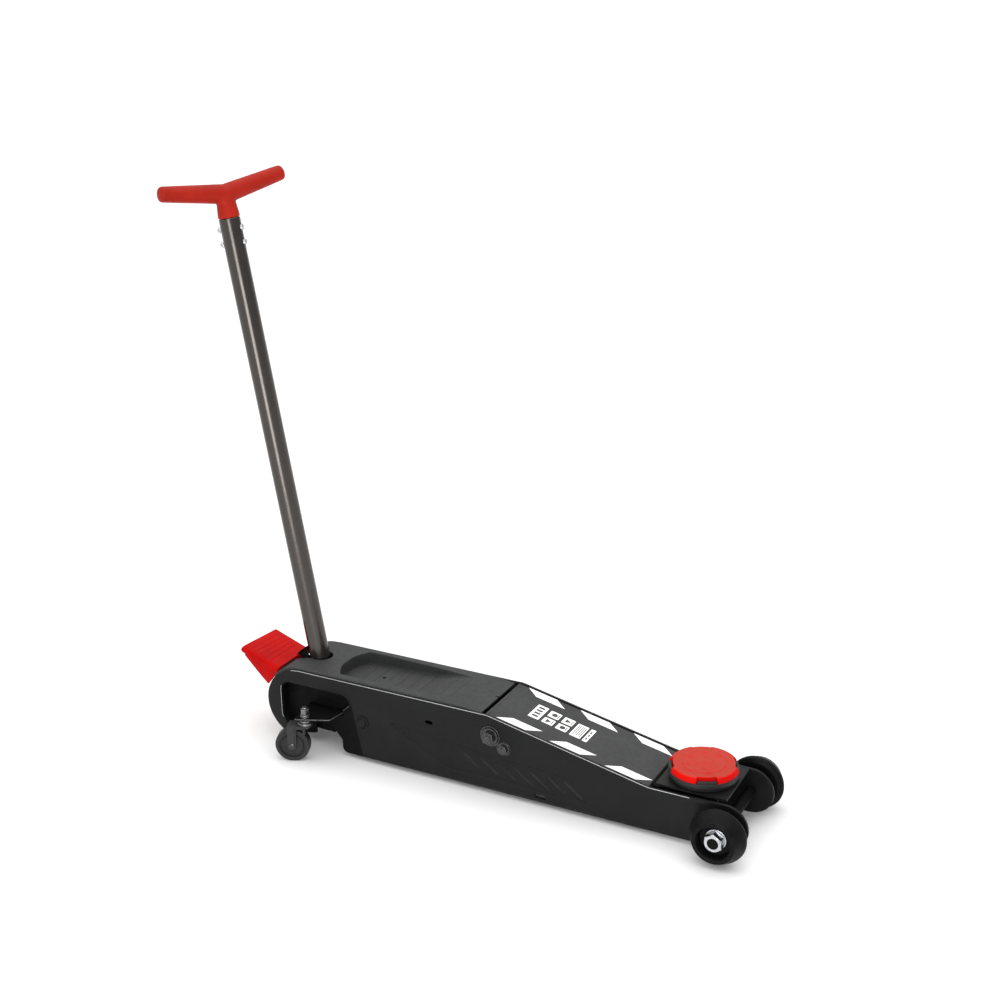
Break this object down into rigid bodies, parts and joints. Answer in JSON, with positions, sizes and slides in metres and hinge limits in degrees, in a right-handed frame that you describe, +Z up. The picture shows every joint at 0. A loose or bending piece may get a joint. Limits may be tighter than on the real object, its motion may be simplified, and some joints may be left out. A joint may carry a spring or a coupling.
{
  "type": "car jack",
  "caption": "Long low trolley jack with a swivelling saddle, hand pump handle, foot pedal, tool tray, front wheels and rear casters.",
  "frame": {"origin": "on the floor under the middle of the jack's box", "axes": "+X towards the front wheels and saddle, +Y to the left, +Z up"},
  "size_m": [0.897, 0.2294, 0.8667],
  "materials": {
    "body_black": "satin black paint",
    "cover_grey": "finely textured dark grey",
    "inner_steel": "dull black coating",
    "zinc": "bright zinc plate",
    "chrome": "hard chrome",
    "tube_grey": "dark metallic powder coat",
    "grip_red": "moulded red-orange",
    "pedal_red": "gloss red paint",
    "pad_red": "moulded red rubber",
    "wheel_black": "semi-gloss black nylon"
  },
  "bodies": {
    "chassis": {"side_plate_left": "body_black", "caster_bracket_left": "inner_steel", "caster_stem_left": "zinc", "caster_race_left": "zinc", "axle_nut_left": "zinc", "axle_washer_left": "zinc", "arm_pivot_nut_left": "body_black", "link_bolt_left": "body_black", "cylinder_bolt_left": "body_black", "side_plate_right": "body_black", "caster_bracket_right": "inner_steel", "caster_stem_right": "zinc", "caster_race_right": "zinc", "axle_nut_right": "zinc", "axle_washer_right": "zinc", "arm_pivot_nut_right": "body_black", "link_bolt_right": "body_black", "cylinder_bolt_right": "body_black", "rear_cover": "cover_grey", "front_axle": "body_black", "arm_pivot_shaft": "inner_steel", "hydraulic_cylinder": "inner_steel", "pump_block": "inner_steel", "pedal_pin": "zinc", "pedal_spring": "zinc"},
    "lift_arm": {"arm_plate_left": "inner_steel", "arm_plate_right": "inner_steel", "arm_cover": "cover_grey", "head_pin": "zinc", "push_pin": "zinc"},
    "tie_rods": {"tie_rod_left": "inner_steel", "tie_rod_right": "inner_steel", "tie_rod_pin": "zinc"},
    "head": {"saddle_head": "body_black"},
    "saddle": {"saddle_cup": "body_black", "saddle_pad": "pad_red"},
    "ram": {"ram_rod": "chrome", "ram_head": "zinc"},
    "socket": {"handle_socket": "inner_steel"},
    "handle": {"handle_tube": "tube_grey", "t_grip": "grip_red", "grip_screw_1": "zinc", "grip_screw_2": "zinc", "grip_screw_3": "zinc", "grip_screw_4": "zinc"},
    "valve": {"release_valve": "zinc"},
    "hand_pump": {"pump_plunger": "chrome"},
    "pedal": {"foot_pedal": "pedal_red"},
    "foot_pump": {"foot_pump_plunger": "chrome"},
    "caster_left": {"caster_fork_left": "inner_steel", "caster_axle_left": "inner_steel"},
    "caster_roller_left": {"caster_wheel_left": "wheel_black"},
    "wheel_left": {"front_wheel_left": "wheel_black"},
    "caster_right": {"caster_fork_right": "inner_steel", "caster_axle_right": "inner_steel"},
    "caster_roller_right": {"caster_wheel_right": "wheel_black"},
    "wheel_right": {"front_wheel_right": "wheel_black"}
  },
  "joints": [
    {"name": "arm_lift", "type": "hinge", "parent": "chassis", "child": "lift_arm", "pos_m": [0.05301, 0, 0.096], "axis": [0, -1, 0], "range_deg": [0, 65]},
    {"name": "tie_rod_swing", "type": "hinge", "parent": "chassis", "child": "tie_rods", "pos_m": [0.07501, 0, 0.081], "axis": [0, -1, 0], "range_deg": [0, 65]},
    {"name": "head_level", "type": "hinge", "parent": "lift_arm", "child": "head", "pos_m": [0.34601, 0, 0.058], "axis": [0, -1, 0], "range_deg": [-65, 0]},
    {"name": "saddle_swivel", "type": "hinge", "parent": "head", "child": "saddle", "pos_m": [0.35671, 0, 0.078], "axis": [0, 0, 1], "continuous": true},
    {"name": "ram_stroke", "type": "slide", "parent": "chassis", "child": "ram", "axis": [1, 0, 0], "range_m": [0, 0.048]},
    {"name": "handle_pump", "type": "hinge", "parent": "chassis", "child": "socket", "pos_m": [-0.27399, 0, 0.105], "axis": [0, -1, 0], "range_deg": [-6, 50]},
    {"name": "handle_twist", "type": "hinge", "parent": "socket", "child": "handle", "pos_m": [-0.27399, 0, 0.105], "axis": [-0.1692, 0, 0.9856], "range_deg": [0, 120]},
    {"name": "valve_turn", "type": "hinge", "parent": "chassis", "child": "valve", "pos_m": [-0.26899, 0, 0.064], "axis": [0, 0, 1], "range_deg": [0, 120]},
    {"name": "hand_pump_stroke", "type": "slide", "parent": "chassis", "child": "hand_pump", "axis": [0, 0, -1], "range_m": [-0.0034, 0.0281]},
    {"name": "pedal_press", "type": "hinge", "parent": "chassis", "child": "pedal", "pos_m": [-0.32499, 0, 0.084], "axis": [0, -1, 0], "range_deg": [0, 19], "stiffness_Nm_per_rad": 0.8, "springref_deg": -28.65},
    {"name": "foot_pump_stroke", "type": "slide", "parent": "chassis", "child": "foot_pump", "axis": [1, 0, 0], "range_m": [0, 0.0136]},
    {"name": "caster_swivel_left", "type": "hinge", "parent": "chassis", "child": "caster_left", "pos_m": [-0.24819, 0.0902, 0.06], "axis": [0, 0, 1], "continuous": true},
    {"name": "caster_roll_left", "type": "hinge", "parent": "caster_left", "child": "caster_roller_left", "pos_m": [-0.2675, 0.0982, 0.0265], "axis": [0.3827, 0.9239, 0], "continuous": true},
    {"name": "wheel_roll_left", "type": "hinge", "parent": "chassis", "child": "wheel_left", "pos_m": [0.40801, 0.0875, 0.0405], "axis": [0, 1, 0], "continuous": true},
    {"name": "caster_swivel_right", "type": "hinge", "parent": "chassis", "child": "caster_right", "pos_m": [-0.24819, -0.0902, 0.06], "axis": [0, 0, 1], "continuous": true},
    {"name": "caster_roll_right", "type": "hinge", "parent": "caster_right", "child": "caster_roller_right", "pos_m": [-0.2675, -0.0982, 0.0265], "axis": [-0.3827, 0.9239, 0], "continuous": true},
    {"name": "wheel_roll_right", "type": "hinge", "parent": "chassis", "child": "wheel_right", "pos_m": [0.40801, -0.0875, 0.0405], "axis": [0, 1, 0], "continuous": true}
  ],
  "couplings": [
    {"joint": "tie_rod_swing", "follows": "arm_lift", "ratio": 1},
    {"joint": "head_level", "follows": "arm_lift", "ratio": -1},
    {"joint": "ram_stroke", "follows": "arm_lift", "m_per_rad": 0.04225},
    {"joint": "valve_turn", "follows": "handle_twist", "ratio": 1},
    {"joint": "hand_pump_stroke", "follows": "handle_pump", "m_per_rad": 0.0321},
    {"joint": "foot_pump_stroke", "follows": "pedal_press", "m_per_rad": 0.0387}
  ]
}
